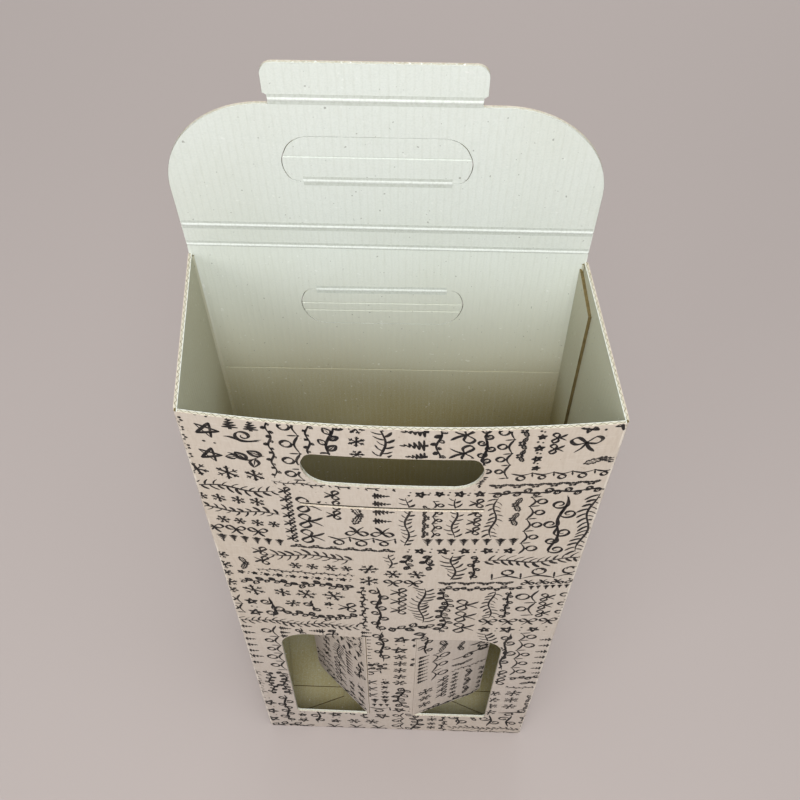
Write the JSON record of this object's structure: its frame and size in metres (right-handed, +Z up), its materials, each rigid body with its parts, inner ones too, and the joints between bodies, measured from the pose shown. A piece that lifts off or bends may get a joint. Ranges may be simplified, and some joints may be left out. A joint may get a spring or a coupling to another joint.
{
  "type": "bottle shipping box",
  "caption": "Folded corrugated carton for two bottles, with windows, divider flaps, a hand hole and a hinged lid with tuck tab.",
  "frame": {"origin": "middle of the underside, on the ground", "axes": "+X right, +Y to the back, +Z up; the windows face -Y"},
  "size_m": [0.1886, 0.096, 0.4874],
  "materials": {
    "board": "matt micro-flute board, kraft outside and pale inside"
  },
  "bodies": {
    "box": {"box_body": "board"},
    "ridge": {"lid_ridge": "board"},
    "lid": {"lid_panel": "board"},
    "tab": {"tuck_tab": "board"},
    "lid_flap": {"lid_handle_flap": "board"},
    "back_flap": {"back_handle_flap": "board"},
    "front_flap": {"front_handle_flap": "board"},
    "divider_left": {"divider_flap_left": "board"},
    "divider_right": {"divider_flap_right": "board"}
  },
  "joints": [
    {"name": "lid_first_crease", "type": "hinge", "parent": "box", "child": "ridge", "pos_m": [-0.0045, 0.0442, 0.391], "axis": [1, 0, 0], "range_deg": [-90, 41]},
    {"name": "lid_second_crease", "type": "hinge", "parent": "ridge", "child": "lid", "pos_m": [-0.0045, 0.04332, 0.40357], "axis": [1, 0, 0], "range_deg": [-90, 45]},
    {"name": "tuck_tab_crease", "type": "hinge", "parent": "lid", "child": "tab", "pos_m": [-0.0045, 0.03858, 0.4714], "axis": [1, 0, 0], "range_deg": [-20, 100]},
    {"name": "lid_flap_crease", "type": "hinge", "parent": "lid", "child": "lid_flap", "pos_m": [-0.0045, 0.04064, 0.43045], "axis": [1, 0, 0], "range_deg": [0, 120]},
    {"name": "back_flap_crease", "type": "hinge", "parent": "box", "child": "back_flap", "pos_m": [-0.00425, 0.0434, 0.36397], "axis": [-0.9999, 0, -0.0117], "range_deg": [0, 90]},
    {"name": "front_flap_crease", "type": "hinge", "parent": "box", "child": "front_flap", "pos_m": [0.00425, -0.04803, 0.36396], "axis": [0.9999, 0.0002, -0.0117], "range_deg": [-60, 80]},
    {"name": "divider_left_crease", "type": "hinge", "parent": "box", "child": "divider_left", "pos_m": [-0.01785, -0.04473, 0.03421], "axis": [-0.0117, 0.0156, -0.9998], "range_deg": [-42, 58]},
    {"name": "divider_right_crease", "type": "hinge", "parent": "box", "child": "divider_right", "pos_m": [0.01265, -0.04473, 0.03385], "axis": [0.0117, -0.0156, 0.9998], "range_deg": [-22, 78]}
  ]
}
